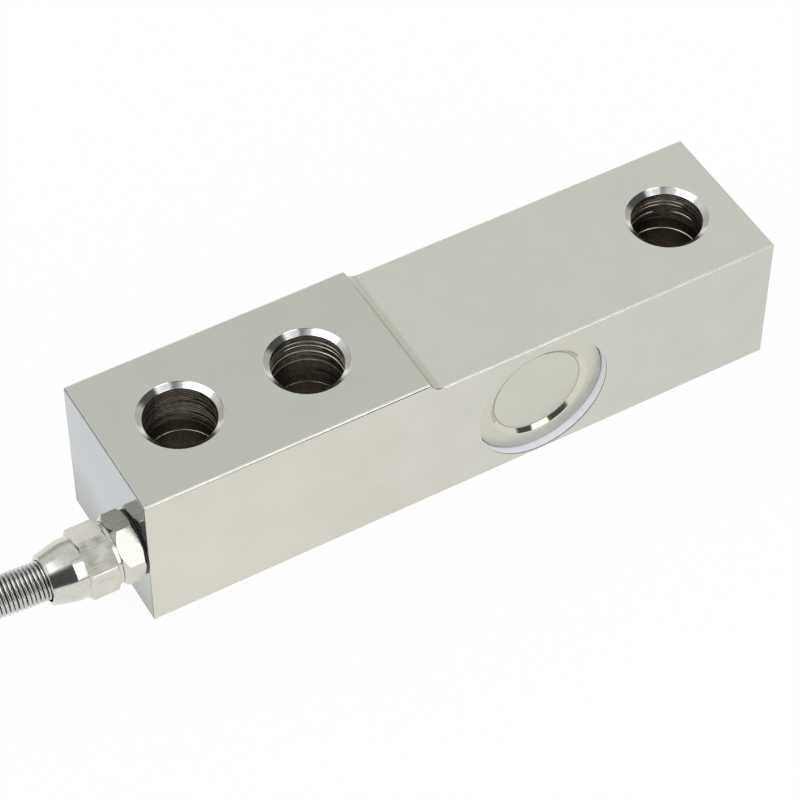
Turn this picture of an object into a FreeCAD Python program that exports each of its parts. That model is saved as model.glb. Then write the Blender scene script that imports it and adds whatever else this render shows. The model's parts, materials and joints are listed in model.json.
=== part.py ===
import FreeCAD, Part

import math
import os

from FreeCAD import Vector

# Single-ended shear-beam load cell: a plated steel bar, bolted down through two holes at the
# cable end and loaded through the third, with strain gauges on a thin web between two sealed
# side pockets.  Millimetres, +Z up.  The origin is the middle of the bar's underside; the cable
# leaves towards -X and the front face looks towards -Y.

os.makedirs("parts", exist_ok=True)

# ---- the bar ----
bar_length = 130.0
bar_width = 31.8
mount_end_height = 31.4
step_drop = 2.25
step_from_cable_end = 56.5
step_cutter_radius = 3.0
edge_break = 0.4

# ---- the three bolt holes ----
bore_radius = 6.75
bore_chamfer = 1.125
bore_chamfer_depth = 0.78
outer_bore_from_cable_end = 15.0
mount_bore_pitch = 25.4
load_bore_from_load_end = 13.4

# ---- the side pockets, the web and the pressed caps ----
pocket_from_cable_end = 80.6
recess_wall_below = 0.5
recess_wall_above = 1.45
recess_ledge = 2.0
pocket_floor_radius = 0.5
web_thickness = 5.0
cap_depth = 1.7
cap_sheet = 0.6
cap_clearance = 0.15
cap_rim_width = 2.95
cap_dish_run = 1.45
cap_dish_depth = 0.75
cap_bend_radius = 0.5
web_hole_radius = 1.5
web_hole_from_wall = 3.4

# ---- gauges, board and wiring on the web ----
gauge_width = 9.0
gauge_height = 7.0
gauge_film = 0.15
foil_thickness = 0.08
foil_strand = 0.22
foil_pitch = 0.44
foil_strands = 6
foil_strand_length = 2.6
foil_tab = 0.9
grid_offset = 2.15
terminal_width = 9.0
terminal_height = 2.2
terminal_thickness = 0.5
terminal_from_wall = 5.4
terminal_count = 4
terminal_pitch = 2.1
board_height = 4.0
board_thickness = 0.8
board_from_wall = 2.4
board_corner_gap = 0.1
pad_row_rise = 1.0
chip_length = 1.8
chip_width = 1.0
chip_height = 0.5
chip_count = 3
chip_pitch = 3.4
chip_row_drop = 1.0
jumper_radius = 0.12
jumper_loop = 0.9
jumper_lap = 0.3
link_wire_radius = 0.25
link_wire_spread = 0.45
link_wire_loop = 1.5
link_joint_drop = 0.55
core_radius = 0.5
core_spread = 0.75
core_pad_pitch = 2.2
core_pad_margin = 0.8
link_pad_pitch = 0.6
link_pad_margin = 0.6
gel_gap_to_cap = 0.6

# ---- the cable entry, on an axis between the bores and the front face ----
entry_from_front = 6.0
entry_height = 16.0
wire_channel_radius = 2.0
port_depth = 6.6
thread_radius = 4.0
thread_clearance = 0.02
spigot_length = 6.0
seal_thickness = 0.42
seal_radius = 6.1
seal_edge = 0.12
hex_end_margin = 0.06
hex_chamfer_angle = 30.0
body_hex_turn = 42.5
body_hex_flats = 11.65
body_hex_length = 4.18
body_face_angle = 50.0
relief_radius = 5.3
relief_length = 0.12
nut_thread_radius = 4.75
nut_thread_length = 4.7
nut_thread_clearance = 0.03
nut_collar_radius = 5.95
nut_collar_length = 0.68
nut_hex_turn = 33.0
nut_hex_flats = 11.7
nut_hex_length = 5.6
nose_length = 6.5
nose_radius = 5.75
nose_shoulder = 1.95
nose_tip_radius = 4.7
nose_bulge = 0.04
nose_lip = 0.2
nose_mouth_radius = 4.0
insert_radius = 3.9
insert_length = 3.0
insert_proud = 0.15
washer_thickness = 0.5
washer_radius = 4.5
washer_clearance = 0.1
jacket_in_mouth = 12.0

# ---- the cable and its spring guard ----
cable_radius = 2.5
cable_clearance = 0.1
guard_radius = 3.75
guard_wire = 0.75
guard_end_radius = 4.3
guard_end_length = 0.8

# ---- the cable's put-away hank ----
hank_turn_radius = 15.0
hank_columns = 2
hank_levels = 6
hank_straight = 79.0
hank_edge_radius = 2.0
hank_from_nose = 77.5
hank_y = 10.0
arc_share = 0.45
tie_thickness = 1.0
tie_edge_radius = 0.9
tie_width = 3.6
tie_head = 5.0
tie_head_height = 3.5
tie_from_middle = 12.0
sleeve_radius = 3.0
sleeve_length = 12.0
sleeve_on_jacket = 7.0
tail_core_radius = 0.6
tail_strip_length = 5.0
tail_strand_radius = 0.35
drain_radius = 0.8
tail_core_bend = 7.0

# ---- places worked out from the sizes above ----
cable_end_x = -bar_length / 2
load_end_x = bar_length / 2
front_y = -bar_width / 2
load_end_height = mount_end_height - step_drop
outer_bore_x = cable_end_x + outer_bore_from_cable_end
inner_bore_x = outer_bore_x + mount_bore_pitch
load_bore_x = load_end_x - load_bore_from_load_end
recess_radius = (load_end_height - recess_wall_below - recess_wall_above) / 2
pocket_x = cable_end_x + pocket_from_cable_end
pocket_z = recess_wall_below + recess_radius
pocket_radius = recess_radius - recess_ledge
cap_dish_radius = recess_radius - cap_rim_width
web_depth = (bar_width - web_thickness) / 2
ledge_depth = cap_depth + cap_sheet
web_hole_x = pocket_x - pocket_radius + web_hole_from_wall
board_z = pocket_z + pocket_radius - board_from_wall - board_height / 2
board_corner_radius = pocket_radius - pocket_floor_radius - board_corner_gap
board_width = 2 * math.sqrt(board_corner_radius**2 - (pocket_radius - board_from_wall) ** 2)
pad_row_z = board_z + pad_row_rise
terminal_z = pocket_z - pocket_radius + terminal_from_wall
entry_y = front_y + entry_from_front
entry_z = entry_height
port_radius = thread_radius + thread_clearance

body_hex_x = cable_end_x - seal_thickness
relief_x = body_hex_x - body_hex_length
nut_collar_x = relief_x - relief_length
nut_hex_x = nut_collar_x - nut_collar_length
nose_x = nut_hex_x - nut_hex_length
mouth_x = nose_x - nose_length
body_mouth_x = nut_collar_x - nut_thread_length
insert_x = body_mouth_x - insert_proud
washer_x = insert_x - washer_thickness
guard_start_x = washer_x - guard_end_length
jacket_start_x = mouth_x + jacket_in_mouth

hank_right_x = mouth_x - hank_from_nose
hank_left_x = hank_right_x - hank_straight
hank_outer_radius = hank_turn_radius + (2 * hank_columns - 1) * cable_radius
hank_inner_radius = hank_turn_radius - cable_radius
hank_height = hank_levels * 2 * cable_radius
hank_floor_z = tie_thickness


# ---- small makers used all through ----
def save(node, solids):
    solids = solids if isinstance(solids, list) else [solids]
    shape = solids[0] if len(solids) == 1 else Part.makeCompound(solids)
    shape.exportStep(f"parts/{node}.step")


def merged(first, others):
    return first.fuse(others).removeSplitter()


def bent_path(points, radii):
    """Straight runs joined by tangent arcs, with one radius for each inner point."""
    edges = []
    here = points[0]
    for before, corner, after, radius in zip(points, points[1:], points[2:], radii):
        back = (before - corner).normalize()
        ahead = (after - corner).normalize()
        half_turn = (math.pi - back.getAngle(ahead)) / 2
        start = corner + back * (radius * math.tan(half_turn))
        end = corner + ahead * (radius * math.tan(half_turn))
        inward = (back + ahead).normalize()
        middle = corner + inward * (radius / math.cos(half_turn) - radius)
        edges.append(Part.LineSegment(here, start).toShape())
        edges.append(Part.Arc(start, middle, end).toShape())
        here = end
    edges.append(Part.LineSegment(here, points[-1]).toShape())
    return edges


def rod_along(edges, radius):
    """A round rod swept along joined edges."""
    first = edges[0]
    heading = first.tangentAt(first.FirstParameter)
    ring = Part.Wire(Part.makeCircle(radius, first.valueAt(first.FirstParameter), heading))
    return Part.Wire(edges).makePipeShell([ring], True, False)


def fine_wire(points, radius):
    """A thin hidden wire, six-sided and mitred at its corners to keep its faces few."""
    points = [Vector(*p) for p in points]
    heading = (points[1] - points[0]).normalize()
    aside = heading.cross((points[-1] - points[0]).normalize()).normalize() * radius
    turn = FreeCAD.Rotation(heading, 60)
    ring = [points[0] + aside]
    for _ in range(6):
        aside = turn.multVec(aside)
        ring.append(points[0] + aside)
    mitred = 1
    return Part.makePolygon(points).makePipeShell([Part.makePolygon(ring)], True, False, mitred)


def turned(outline, y=entry_y, z=entry_z):
    """A turned piece about the line through (y, z) along X, from (x, radius) points."""
    points = [Vector(x, y, z + r) for x, r in outline]
    face = Part.Face(Part.makePolygon(points + points[:1]))
    return face.revolve(Vector(0, y, z), Vector(1, 0, 0), 360)


def hexagon(x_high, x_low, flats, turn, low_angle):
    """A hexagon bar across the entry axis, its corners turned off at both ends."""
    corner = flats / math.sqrt(3)
    points = []
    for k in range(7):
        angle = math.radians(turn + 60 * k)
        across = Vector(0, math.cos(angle), math.sin(angle)) * corner
        points.append(Vector(x_low, entry_y, entry_z) + across)
    bar = Part.Face(Part.makePolygon(points)).extrude(Vector(x_high - x_low, 0, 0))
    end = flats / 2 + hex_end_margin
    low_run = (corner - end) * math.tan(math.radians(low_angle))
    high_run = (corner - end) * math.tan(math.radians(hex_chamfer_angle))
    low_end = [(x_low, 0), (x_low, end), (x_low + low_run, corner)]
    high_end = [(x_high - high_run, corner), (x_high, end), (x_high, 0)]
    return bar.common(turned(low_end + high_end))


def block(x, y, z, width, depth, height):
    """A box centred on x and z, standing from y towards y + depth."""
    y_low = min(y, y + depth)
    return Part.makeBox(width, abs(depth), height, Vector(x - width / 2, y_low, z - height / 2))


# ---- the bar ----
def stepped_bar():
    """The milled bar: its top steps down to the load end in one pass of a round-cornered cutter."""
    sweep = math.acos(1 - step_drop / step_cutter_radius)
    edge_x = cable_end_x + step_from_cable_end
    foot_x = edge_x + step_cutter_radius * math.sin(sweep)
    middle_x = foot_x - step_cutter_radius * math.sin(sweep / 2)
    middle_z = load_end_height + step_cutter_radius * (1 - math.cos(sweep / 2))

    def at(x, z):
        return Vector(x, front_y, z)

    step_edge = at(edge_x, mount_end_height)
    step_foot = at(foot_x, load_end_height)
    round_the_rest = [
        step_foot,
        at(load_end_x, load_end_height),
        at(load_end_x, 0),
        at(cable_end_x, 0),
        at(cable_end_x, mount_end_height),
        step_edge,
    ]
    edges = Part.makePolygon(round_the_rest).Edges
    edges.append(Part.Arc(step_edge, at(middle_x, middle_z), step_foot).toShape())
    bar = Part.Face(Part.Wire(edges)).extrude(Vector(0, bar_width, 0))
    broken = []
    for edge in bar.Edges:
        box = edge.BoundBox
        on_a_side = box.YLength < 1e-6
        on_an_end = box.XLength < 1e-6 and abs(abs(box.XMin) - bar_length / 2) < 1e-6
        if on_a_side or on_an_end:
            broken.append(edge)
    return bar.makeChamfer(edge_break, broken)


def bolt_hole(x, height):
    """A drilled through hole with both mouths countersunk."""
    mouth = bore_radius + bore_chamfer
    hole = Part.makeCylinder(bore_radius, height + 2, Vector(x, 0, -1))
    spread = bore_chamfer / bore_chamfer_depth
    cone_length = bore_chamfer_depth + 1
    top = Vector(x, 0, height - bore_chamfer_depth)
    low = Part.makeCone(mouth + spread, bore_radius, cone_length, Vector(x, 0, -1))
    high = Part.makeCone(bore_radius, mouth + spread, cone_length, top)
    return hole.fuse([low, high])


def across_bar(radius, side, depth_from, depth_to, x=pocket_x, z=pocket_z):
    """A disc about a line along Y, between two depths under the front (-1) or rear (1) face."""
    start = Vector(x, side * (bar_width / 2 - depth_from), z)
    return Part.makeCylinder(radius, depth_to - depth_from, start, Vector(0, -side, 0))


def gauge_pocket(side):
    """The flat-bottomed pocket behind a cap, with a rounded corner at the web."""
    pocket = across_bar(pocket_radius, side, ledge_depth, web_depth)
    web_y = side * web_thickness / 2
    rings = [e for e in pocket.Edges if e.BoundBox.YLength < 1e-6]
    floor = [e for e in rings if abs(e.BoundBox.YMin - web_y) < 1e-6]
    return pocket.makeFillet(pocket_floor_radius, floor)


pockets = {side: gauge_pocket(side) for side in (-1, 1)}


def beam_body():
    bar = stepped_bar()
    entry_mouth = Vector(cable_end_x, entry_y, entry_z)
    channel_length = pocket_from_cable_end - pocket_radius / 2
    port_end_x = cable_end_x + port_depth
    port = [
        (cable_end_x - 1, 0),
        (cable_end_x - 1, port_radius),
        (port_end_x, port_radius),
        (port_end_x + port_radius / 2, 0),
    ]
    cuts = [
        bolt_hole(outer_bore_x, mount_end_height),
        bolt_hole(inner_bore_x, mount_end_height),
        bolt_hole(load_bore_x, load_end_height),
        across_bar(web_hole_radius, -1, web_depth - 1, web_depth + web_thickness + 1, web_hole_x),
        Part.makeCylinder(wire_channel_radius, channel_length, entry_mouth, Vector(1, 0, 0)),
        turned(port),
    ]
    for side in (-1, 1):
        cuts.append(across_bar(recess_radius, side, -1, ledge_depth))
        cuts.append(pockets[side])
    return bar.cut(cuts)


save("beam_body", beam_body())


# ---- the pressed caps that seal the pockets ----
def sealing_cap(side):
    """A pressed disc: a flat rim on the recess ledge and a dished middle."""
    rim = recess_radius - cap_clearance
    low = cap_depth + cap_dish_depth
    flat = cap_dish_radius - cap_dish_run
    slope = math.atan2(cap_dish_depth, cap_dish_run)
    shift = cap_sheet * math.tan(slope / 2)

    def at(r, depth):
        return Vector(pocket_x + r, side * (bar_width / 2 - depth), pocket_z)

    outer = [at(0, low), at(flat, low), at(cap_dish_radius, cap_depth), at(rim, cap_depth)]
    inner = [
        at(rim, ledge_depth),
        at(cap_dish_radius + shift, ledge_depth),
        at(flat + shift, low + cap_sheet),
        at(0, low + cap_sheet),
    ]
    over = bent_path(outer, [cap_bend_radius + cap_sheet, cap_bend_radius])
    under = bent_path(inner, [cap_bend_radius + cap_sheet, cap_bend_radius])
    rim_edge = Part.LineSegment(outer[-1], inner[0]).toShape()
    middle = Part.LineSegment(inner[-1], outer[0]).toShape()
    outline = Part.Wire(Part.__sortEdges__(over + [rim_edge] + under + [middle]))
    return Part.Face(outline).revolve(at(0, 0), Vector(0, 1, 0), 360)


save("front_sealing_cap", sealing_cap(-1))
save("rear_sealing_cap", sealing_cap(1))


# ---- the strain gauges bonded to both faces of the web ----
def foil_grid(side, turn):
    """One serpentine foil grid at 45 degrees, a single strip folded back and forth."""
    y = side * (web_thickness / 2 + gauge_film)
    lift = side * foil_thickness
    half = (foil_strands - 1) / 2
    pieces = []
    for k in range(foil_strands):
        u = (k - half) * foil_pitch
        pieces.append(block(u, y, 0, foil_strand, lift, foil_strand_length))
        if k < foil_strands - 1:
            end = (-1) ** k * (foil_strand_length - foil_strand) / 2
            pieces.append(block(u + foil_pitch / 2, y, end, foil_pitch, lift, foil_strand))
    for k in (-1, 1):
        u = k * (half * foil_pitch + foil_tab / 2 - foil_strand / 2)
        end = (-1) ** ((k + 1) // 2) * -(foil_strand_length - foil_tab) / 2
        pieces.append(block(u, y, end, foil_tab, lift, foil_tab))
    grid = merged(pieces[0], pieces[1:])
    grid.rotate(Vector(0, 0, 0), Vector(0, 1, 0), 45 * turn)
    grid.translate(Vector(pocket_x + turn * grid_offset, 0, pocket_z))
    return grid


def gauge_backing(side):
    y = side * web_thickness / 2
    return block(pocket_x, y, pocket_z, gauge_width, side * gauge_film, gauge_height)


def terminal_xs():
    first = pocket_x - terminal_pitch * (terminal_count - 1) / 2
    return [first + terminal_pitch * k for k in range(terminal_count)]


def terminal_strip(side):
    y = side * web_thickness / 2
    return block(pocket_x, y, terminal_z, terminal_width, side * terminal_thickness, terminal_height)


def jumpers(side):
    """Fine wires looped from the gauge film down to the terminal strip."""
    web_y = side * web_thickness / 2
    film_y = web_y + side * gauge_film
    strip_y = web_y + side * terminal_thickness
    high_y = web_y + side * jumper_loop
    start_z = pocket_z - gauge_height / 2 + jumper_lap
    loops = []
    for x in terminal_xs():
        up = [(x, film_y, start_z), (x, high_y, start_z)]
        down = [(x, high_y, terminal_z), (x, strip_y, terminal_z)]
        loops.append(fine_wire(up + down, jumper_radius))
    return loops


gauge_parts = {}
for side, name in ((-1, "front"), (1, "rear")):
    gauge_parts[side] = [
        gauge_backing(side),
        foil_grid(side, -1),
        foil_grid(side, 1),
        terminal_strip(side),
        *jumpers(side),
    ]
    save(f"{name}_gauge_backing", gauge_parts[side][0])
    save(f"{name}_gauge_grids", gauge_parts[side][1:3])
    save(f"{name}_terminal_strip", gauge_parts[side][3])
    save(f"{name}_jumper_wires", gauge_parts[side][4:])

# ---- the compensation board with its trimming resistors, on the web in the front pocket ----
board_y = front_y + web_depth - board_thickness
board = block(pocket_x, board_y + board_thickness, board_z, board_width, -board_thickness, board_height)
first_chip_x = pocket_x - chip_pitch * (chip_count - 1) / 2
chip_row_z = board_z - chip_row_drop
chips = [
    block(first_chip_x + chip_pitch * k, board_y, chip_row_z, chip_length, -chip_height, chip_width)
    for k in range(chip_count)
]
save("compensation_board", board)
save("trimming_resistors", chips)


# ---- wiring: links through the web, and the cable's cores along the channel ----
def link_wires():
    """Four wires from the rear terminal strip, through the web hole, to the board."""
    rear_strip_y = web_thickness / 2 + terminal_thickness
    rear_y = web_thickness / 2 + link_wire_loop
    low_z = terminal_z - link_joint_drop
    made = []
    for k, x in enumerate(terminal_xs()):
        across = link_wire_spread * (1 if k % 2 else -1)
        up = link_wire_spread * (1 if k // 2 else -1)
        lane = rear_y + 2 * link_wire_spread * k
        front_lane = board_y - link_wire_loop - 2 * link_wire_spread * (terminal_count - 1 - k)
        pad_x = pocket_x - board_width / 2 + link_pad_margin + link_pad_pitch * k
        path = [
            (x, rear_strip_y, low_z),
            (x, lane, low_z),
            (web_hole_x + across, lane, pocket_z + up),
            (web_hole_x + across, front_lane, pocket_z + up),
            (pad_x, front_lane, pad_row_z),
            (pad_x, board_y, pad_row_z),
        ]
        made.append(fine_wire(path, link_wire_radius))
    return made


core_colours = ("red", "black", "green", "white")
core_lanes = ((-1, 1), (-1, -1), (1, 1), (1, -1))


def lead_core(k):
    """One insulated core, from the cable's cut jacket to its pad on the board."""
    side_lane, height_lane = core_lanes[k]
    y = entry_y + core_spread * side_lane
    z = entry_z + core_spread * height_lane
    pad_x = pocket_x + board_width / 2 - core_pad_margin - core_pad_pitch * (3 - k)
    along = [(jacket_start_x, y, z), (pad_x, y, z)]
    to_pad = [(pad_x, y, pad_row_z), (pad_x, board_y, pad_row_z)]
    return fine_wire(along + to_pad, core_radius)


links = link_wires()
cores = [lead_core(k) for k in range(4)]
save("link_wires", links)
for colour, core in zip(core_colours, cores):
    save(f"lead_core_{colour}", core)


# ---- the soft gel that floods both pockets over the gauges ----
def gel_fill(side, buried):
    """The pocket's own shape up to just under the cap, less everything it covers."""
    top = cap_depth + cap_dish_depth + cap_sheet + gel_gap_to_cap
    slab = across_bar(pocket_radius + 1, side, top, web_depth)
    return pockets[side].common(slab).cut(buried)


save("front_gel_fill", gel_fill(-1, [board, *chips, *gauge_parts[-1], *links, *cores]))
save("rear_gel_fill", gel_fill(1, [*gauge_parts[1], *links]))

# ---- the cable gland, all turned about the entry axis ----
seal = turned(
    [
        (cable_end_x, thread_radius + seal_edge),
        (cable_end_x, seal_radius - seal_edge),
        (cable_end_x - seal_edge, seal_radius),
        (body_hex_x + seal_edge, seal_radius),
        (body_hex_x, seal_radius - seal_edge),
        (body_hex_x, thread_radius + seal_edge),
    ]
)
save("gland_seal_ring", seal)


def gland_body():
    """Hexagon, threaded spigot into the bar, and the threaded sleeve that the nut draws down on."""
    outside = turned(
        [
            (cable_end_x + spigot_length, 0),
            (cable_end_x + spigot_length, thread_radius - edge_break),
            (cable_end_x + spigot_length - edge_break, thread_radius),
            (relief_x, thread_radius),
            (relief_x, relief_radius),
            (nut_collar_x, relief_radius),
            (nut_collar_x, nut_thread_radius),
            (body_mouth_x, nut_thread_radius),
            (body_mouth_x, 0),
        ]
    )
    body_hex = hexagon(body_hex_x, relief_x, body_hex_flats, body_hex_turn, body_face_angle)
    hexed = outside.fuse(body_hex)
    seat_x = body_mouth_x + insert_length
    inside = turned(
        [
            (cable_end_x + spigot_length + 1, 0),
            (cable_end_x + spigot_length + 1, wire_channel_radius),
            (jacket_start_x, wire_channel_radius),
            (jacket_start_x, cable_radius + cable_clearance),
            (seat_x, cable_radius + cable_clearance),
            (seat_x, insert_radius),
            (body_mouth_x - 1, insert_radius),
            (body_mouth_x - 1, 0),
        ]
    )
    return hexed.cut(inside)


save("gland_body", gland_body())

insert = turned(
    [
        (body_mouth_x + insert_length, cable_radius),
        (body_mouth_x + insert_length, insert_radius),
        (insert_x, insert_radius),
        (insert_x, cable_radius),
    ]
)
save("gland_insert", insert)

washer = turned(
    [
        (insert_x, cable_radius + cable_clearance),
        (insert_x, washer_radius),
        (washer_x, washer_radius),
        (washer_x, cable_radius + cable_clearance),
    ]
)
save("slip_washer", washer)


def dome_nut():
    """The nut: a collar, the hexagon and a tapered nose that the spring guard leaves through."""
    start = Vector(nose_x, entry_y, entry_z + nose_radius)
    shoulder = Vector(nose_x - nose_shoulder, entry_y, entry_z + nose_radius)
    bulge_radius = (nose_radius + nose_tip_radius) / 2 + nose_bulge
    bulge = Vector((shoulder.x + mouth_x) / 2, entry_y, entry_z + bulge_radius)
    tip = Vector(mouth_x + nose_lip, entry_y, entry_z + nose_tip_radius)
    lip = Vector(mouth_x, entry_y, entry_z + nose_tip_radius - nose_lip)
    lip_round = Vector(
        mouth_x + nose_lip * (1 - math.sqrt(0.5)),
        entry_y,
        entry_z + nose_tip_radius - nose_lip * (1 - math.sqrt(0.5)),
    )
    axis_tip = Vector(mouth_x, entry_y, entry_z)
    axis_start = Vector(nose_x, entry_y, entry_z)
    edges = [
        Part.LineSegment(axis_start, start).toShape(),
        Part.LineSegment(start, shoulder).toShape(),
        Part.Arc(shoulder, bulge, tip).toShape(),
        Part.Arc(tip, lip_round, lip).toShape(),
        Part.LineSegment(lip, axis_tip).toShape(),
        Part.LineSegment(axis_tip, axis_start).toShape(),
    ]
    nose = Part.Face(Part.Wire(edges)).revolve(axis_start, Vector(1, 0, 0), 360)
    collar_start = Vector(nut_hex_x, entry_y, entry_z)
    collar = Part.makeCylinder(nut_collar_radius, nut_collar_length, collar_start, Vector(1, 0, 0))
    nut_hex = hexagon(nut_hex_x, nose_x, nut_hex_flats, nut_hex_turn, hex_chamfer_angle)
    outside = nut_hex.fuse([collar, nose])
    threaded = nut_thread_radius + nut_thread_clearance
    room = washer_radius + washer_clearance
    inside = turned(
        [
            (nut_collar_x + 1, 0),
            (nut_collar_x + 1, threaded),
            (body_mouth_x - nut_thread_clearance, threaded),
            (body_mouth_x - nut_thread_clearance, room),
            (guard_start_x - nut_thread_clearance, room),
            (guard_start_x - nut_thread_clearance, nose_mouth_radius),
            (mouth_x - 1, nose_mouth_radius),
            (mouth_x - 1, 0),
        ]
    )
    return outside.cut(inside)


save("dome_nut", dome_nut())

# ---- the free cable's route: x from the nut's mouth, y from the entry axis, z from the floor ----
lead_points = [
    (jacket_in_mouth, 0.0, entry_height),
    (-1.0, 0.0, entry_height),
    (-14.0, 1.7, 15.5),
    (-27.0, 2.6, 12.4),
    (-41.0, 2.3, 7.9),
    (-54.0, 1.3, 4.9),
    (-67.0, 1.6, 3.0),
    (-80.0, 3.0, 3.2),
]
tail_points = [
    (0.0, 15.0, 3.5),
    (19.0, 8.0, 3.4),
    (36.0, 1.0, 3.1),
    (47.0, -1.0, 3.0),
    (57.0, -0.4, 3.0),
]


def cord_edges(points):
    """Runs and arcs of a cord, each arc as large as its two runs allow."""
    radii = []
    for before, corner, after in zip(points, points[1:], points[2:]):
        turn = math.pi - (before - corner).getAngle(after - corner)
        shorter = min((before - corner).Length, (after - corner).Length)
        radii.append(arc_share * shorter / math.tan(turn / 2))
    print("cord radii in cable diameters:", [round(r / (2 * cable_radius), 1) for r in radii])
    return bent_path(points, radii)


lead_route = [Vector(mouth_x + x, entry_y + y, z) for x, y, z in lead_points]
lead_edges = cord_edges(lead_route)


def put_away_hank():
    """The outer shape of the wound cable: an oval ring as high as its levels."""

    def oval(radius):
        corner = Vector(hank_left_x, hank_y - radius, hank_floor_z)
        middle = Part.makeBox(hank_straight, 2 * radius, hank_height, corner)
        ends = [
            Part.makeCylinder(radius, hank_height, Vector(x, hank_y, hank_floor_z))
            for x in (hank_left_x, hank_right_x)
        ]
        return merged(middle, ends)

    outer = oval(hank_outer_radius)
    rims = [e for e in outer.Edges if e.BoundBox.ZLength < 1e-6]
    return outer.makeFillet(hank_edge_radius, rims).cut(oval(hank_inner_radius))


hank = put_away_hank()
lead = rod_along(lead_edges, cable_radius)
lead_length = sum(e.Length for e in lead_edges)
print("lead volume over section times length:", lead.Volume / (math.pi * cable_radius**2 * lead_length))
save("cable_lead", lead.cut(hank))
save("cable_hank", hank)


def spring_guard():
    """The close-wound wire guard as a plain tube: a wide last turn in the nut, then along the lead."""
    guard_edges = list(lead_edges[:-3])
    first = guard_edges[0]
    start = Vector(guard_start_x, entry_y, entry_z)
    guard_edges[0] = Part.LineSegment(start, first.valueAt(first.LastParameter)).toShape()
    last = lead_edges[-3]
    half = last.valueAt((last.FirstParameter + last.LastParameter) / 2)
    guard_edges.append(Part.LineSegment(last.valueAt(last.FirstParameter), half).toShape())
    bore = guard_radius - guard_wire
    outside = rod_along(guard_edges, guard_radius)
    inside = rod_along(guard_edges, bore)
    wide_turn = [(washer_x, bore), (washer_x, guard_end_radius)]
    narrow_turn = [(guard_start_x, guard_end_radius), (guard_start_x, bore)]
    print("spring guard length:", round(sum(e.Length for e in guard_edges) + guard_end_length, 1))
    return outside.cut(inside).fuse(turned(wide_turn + narrow_turn))


save("spring_guard", spring_guard())


# ---- ties round the two sides of the hank ----
def hank_tie(x, side):
    """A strap round one side of the hank, with its square head lying on top."""
    y_in = hank_y + side * hank_inner_radius
    y_out = hank_y + side * hank_outer_radius
    low = min(y_in, y_out)
    width = abs(y_out - y_in)
    hole_corner = Vector(x - tie_width / 2 - 1, low, hank_floor_z)
    hole = Part.makeBox(tie_width + 2, width, hank_height, hole_corner)
    band = Part.makeBox(
        tie_width,
        width + 2 * tie_thickness,
        hank_height + 2 * tie_thickness,
        Vector(x - tie_width / 2, low - tie_thickness, hank_floor_z - tie_thickness),
    )
    long_edges = [e for e in band.Edges if e.BoundBox.YLength < 1e-6 and e.BoundBox.ZLength < 1e-6]
    band = band.makeFillet(tie_edge_radius, long_edges)
    head_corner = Vector(x - tie_head / 2, low, hank_floor_z + hank_height)
    head = Part.makeBox(tie_head, tie_head, tie_head_height, head_corner)
    return band.fuse(head).cut(hole)


hank_middle_x = (hank_left_x + hank_right_x) / 2
save("hank_tie_front", hank_tie(hank_middle_x + tie_from_middle, -1))
save("hank_tie_rear", hank_tie(hank_middle_x - tie_from_middle, 1))

# ---- the cable's far end: stripped cores inside a shrunk sleeve ----
tail_route = [Vector(hank_left_x + x, hank_y + y, z) for x, y, z in tail_points]
tail = rod_along(cord_edges(tail_route), cable_radius).cut(hank)
tail_solid = max(tail.Solids, key=lambda s: s.BoundBox.XMax)
save("cable_tail", tail_solid)

tail_end = tail_route[-1]
tail_heading = (tail_route[-1] - tail_route[-2]).normalize()
sleeve_start = tail_end - tail_heading * sleeve_on_jacket
sleeve = Part.makeCylinder(sleeve_radius, sleeve_length, sleeve_start, tail_heading)
sleeve_bore = Part.makeCylinder(cable_radius, sleeve_length + 2, sleeve_start - tail_heading, tail_heading)
save("tail_sleeve", sleeve.cut(sleeve_bore))

# each core's bends: how far along the sleeve's axis, how far aside and how high above the floor
tail_fans = {
    "red": [(0.0, 1.15, 4.0), (7.0, 1.15, 4.0), (17.0, 4.4, 0.75), (28.0, 8.0, 0.62)],
    "black": [(0.0, 1.15, 2.0), (7.0, 1.15, 2.0), (16.0, 1.9, 0.75), (29.0, 3.2, 0.62)],
    "green": [(0.0, -1.15, 4.0), (7.0, -1.15, 4.0), (17.0, -4.6, 0.75), (27.0, -8.4, 0.62)],
    "white": [(0.0, -1.15, 2.0), (7.0, -1.15, 2.0), (16.0, -2.0, 0.75), (29.0, -3.6, 0.62)],
}
drain_bends = [(0.0, 0.0, 3.0), (7.0, 0.0, 3.0), (15.0, 0.1, 1.2), (23.0, -0.2, 0.85)]
aside = Vector(0, 0, 1).cross(tail_heading)


def fanned(bends):
    flat_end = Vector(tail_end.x, tail_end.y, 0)
    return [flat_end + tail_heading * s + aside * a + Vector(0, 0, z) for s, a, z in bends]


def loose_wire(points, radius):
    return rod_along(bent_path(points, [tail_core_bend] * (len(points) - 2)), radius)


tips = []
for colour, bends in tail_fans.items():
    points = fanned(bends)
    save(f"tail_core_{colour}", loose_wire(points, tail_core_radius))
    heading = (points[-1] - points[-2]).normalize()
    tips.append(Part.makeCylinder(tail_strand_radius, tail_strip_length, points[-1], heading))
save("tail_core_tips", tips)
save("tail_shield_drain", loose_wire(fanned(drain_bends), drain_radius))
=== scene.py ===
import json
import math
import random

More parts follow.
